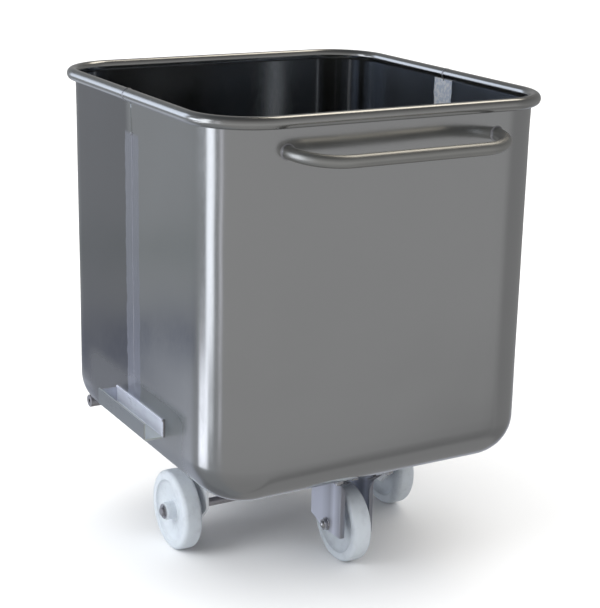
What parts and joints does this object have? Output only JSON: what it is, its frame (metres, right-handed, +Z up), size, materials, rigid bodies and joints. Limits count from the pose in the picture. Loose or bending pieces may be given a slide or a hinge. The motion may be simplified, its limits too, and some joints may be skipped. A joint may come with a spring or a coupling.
{
  "type": "wheeled stainless tote bin",
  "caption": "Deep open stainless tub on four nylon wheels, two fixed and two swivelling, with a tubular rim, a push handle, side lift rails and a rear lift bar.",
  "frame": {"origin": "on the floor under the centre of the outline, handle and rails included", "axes": "+Z up, -Y towards the push handle, +X to the right seen from the handle"},
  "size_m": [0.716, 0.7634, 0.8659],
  "materials": {
    "pressed_sheet": "satin glass-blasted and brushed stainless sheet",
    "weld_metal": "ground weld",
    "tube_steel": "polished stainless tube",
    "plate_steel": "satin stainless plate",
    "bar_steel": "drawn stainless bar",
    "fastener_steel": "bright stainless fasteners",
    "castor_steel": "satin pressed stainless",
    "ball_steel": "polished balls",
    "nylon_white": "white polyamide with a faint gloss",
    "bush_plastic": "dark acetal bush"
  },
  "bodies": {
    "tub": {"tub_front_shell": "pressed_sheet", "tub_rear_shell": "pressed_sheet", "tub_seam_weld": "weld_metal", "rim_front": "tube_steel", "rim_rear": "tube_steel", "rim_welds": "weld_metal", "push_handle": "tube_steel", "handle_welds": "weld_metal", "lift_rail_left": "plate_steel", "lift_rail_right": "plate_steel", "rail_stop_left": "plate_steel", "rail_stop_right": "plate_steel", "rear_lift_bar": "bar_steel", "lift_bar_welds": "weld_metal", "axle_pad_left": "plate_steel", "axle_pad_right": "plate_steel", "axle_hanger_left": "plate_steel", "axle_hanger_right": "plate_steel", "wheel_axle": "bar_steel", "axle_washers": "fastener_steel", "axle_circlips": "fastener_steel", "front_castor_pad": "plate_steel", "front_pad_studs": "fastener_steel", "front_castor_plate": "castor_steel", "front_plate_nuts": "fastener_steel", "front_swivel_race": "castor_steel", "front_kingpin": "bar_steel", "front_king_nut": "fastener_steel", "rear_castor_pad": "plate_steel", "rear_pad_studs": "fastener_steel", "rear_castor_plate": "castor_steel", "rear_plate_nuts": "fastener_steel", "rear_swivel_race": "castor_steel", "rear_kingpin": "bar_steel", "rear_king_nut": "fastener_steel"},
    "left_wheel_body": {"left_wheel": "nylon_white", "left_wheel_bush": "bush_plastic"},
    "right_wheel_body": {"right_wheel": "nylon_white", "right_wheel_bush": "bush_plastic"},
    "front_castor": {"front_fork": "castor_steel", "front_race_balls": "ball_steel", "front_axle_tube": "bar_steel", "front_fork_spacers": "castor_steel", "front_fork_bolt": "fastener_steel", "front_fork_washers": "fastener_steel", "front_fork_nut": "fastener_steel"},
    "front_castor_wheel": {"front_wheel": "nylon_white", "front_wheel_bush": "bush_plastic"},
    "rear_castor": {"rear_fork": "castor_steel", "rear_race_balls": "ball_steel", "rear_axle_tube": "bar_steel", "rear_fork_spacers": "castor_steel", "rear_fork_bolt": "fastener_steel", "rear_fork_washers": "fastener_steel", "rear_fork_nut": "fastener_steel"},
    "rear_castor_wheel": {"rear_wheel": "nylon_white", "rear_wheel_bush": "bush_plastic"}
  },
  "joints": [
    {"name": "left_wheel_spin", "type": "hinge", "parent": "tub", "child": "left_wheel_body", "pos_m": [-0.2316, 0.043, 0.075], "axis": [1, 0, 0], "continuous": true},
    {"name": "right_wheel_spin", "type": "hinge", "parent": "tub", "child": "right_wheel_body", "pos_m": [0.2316, 0.043, 0.075], "axis": [1, 0, 0], "continuous": true},
    {"name": "front_swivel", "type": "hinge", "parent": "tub", "child": "front_castor", "pos_m": [0.018, -0.165, 0.18], "axis": [0, 0, 1], "continuous": true},
    {"name": "front_wheel_spin", "type": "hinge", "parent": "front_castor", "child": "front_castor_wheel", "pos_m": [0.018, -0.14, 0.075], "axis": [1, 0, 0], "continuous": true},
    {"name": "rear_swivel", "type": "hinge", "parent": "tub", "child": "rear_castor", "pos_m": [0.018, 0.235, 0.18], "axis": [0, 0, 1], "continuous": true},
    {"name": "rear_wheel_spin", "type": "hinge", "parent": "rear_castor", "child": "rear_castor_wheel", "pos_m": [0.018, 0.26, 0.075], "axis": [1, 0, 0], "continuous": true}
  ]
}
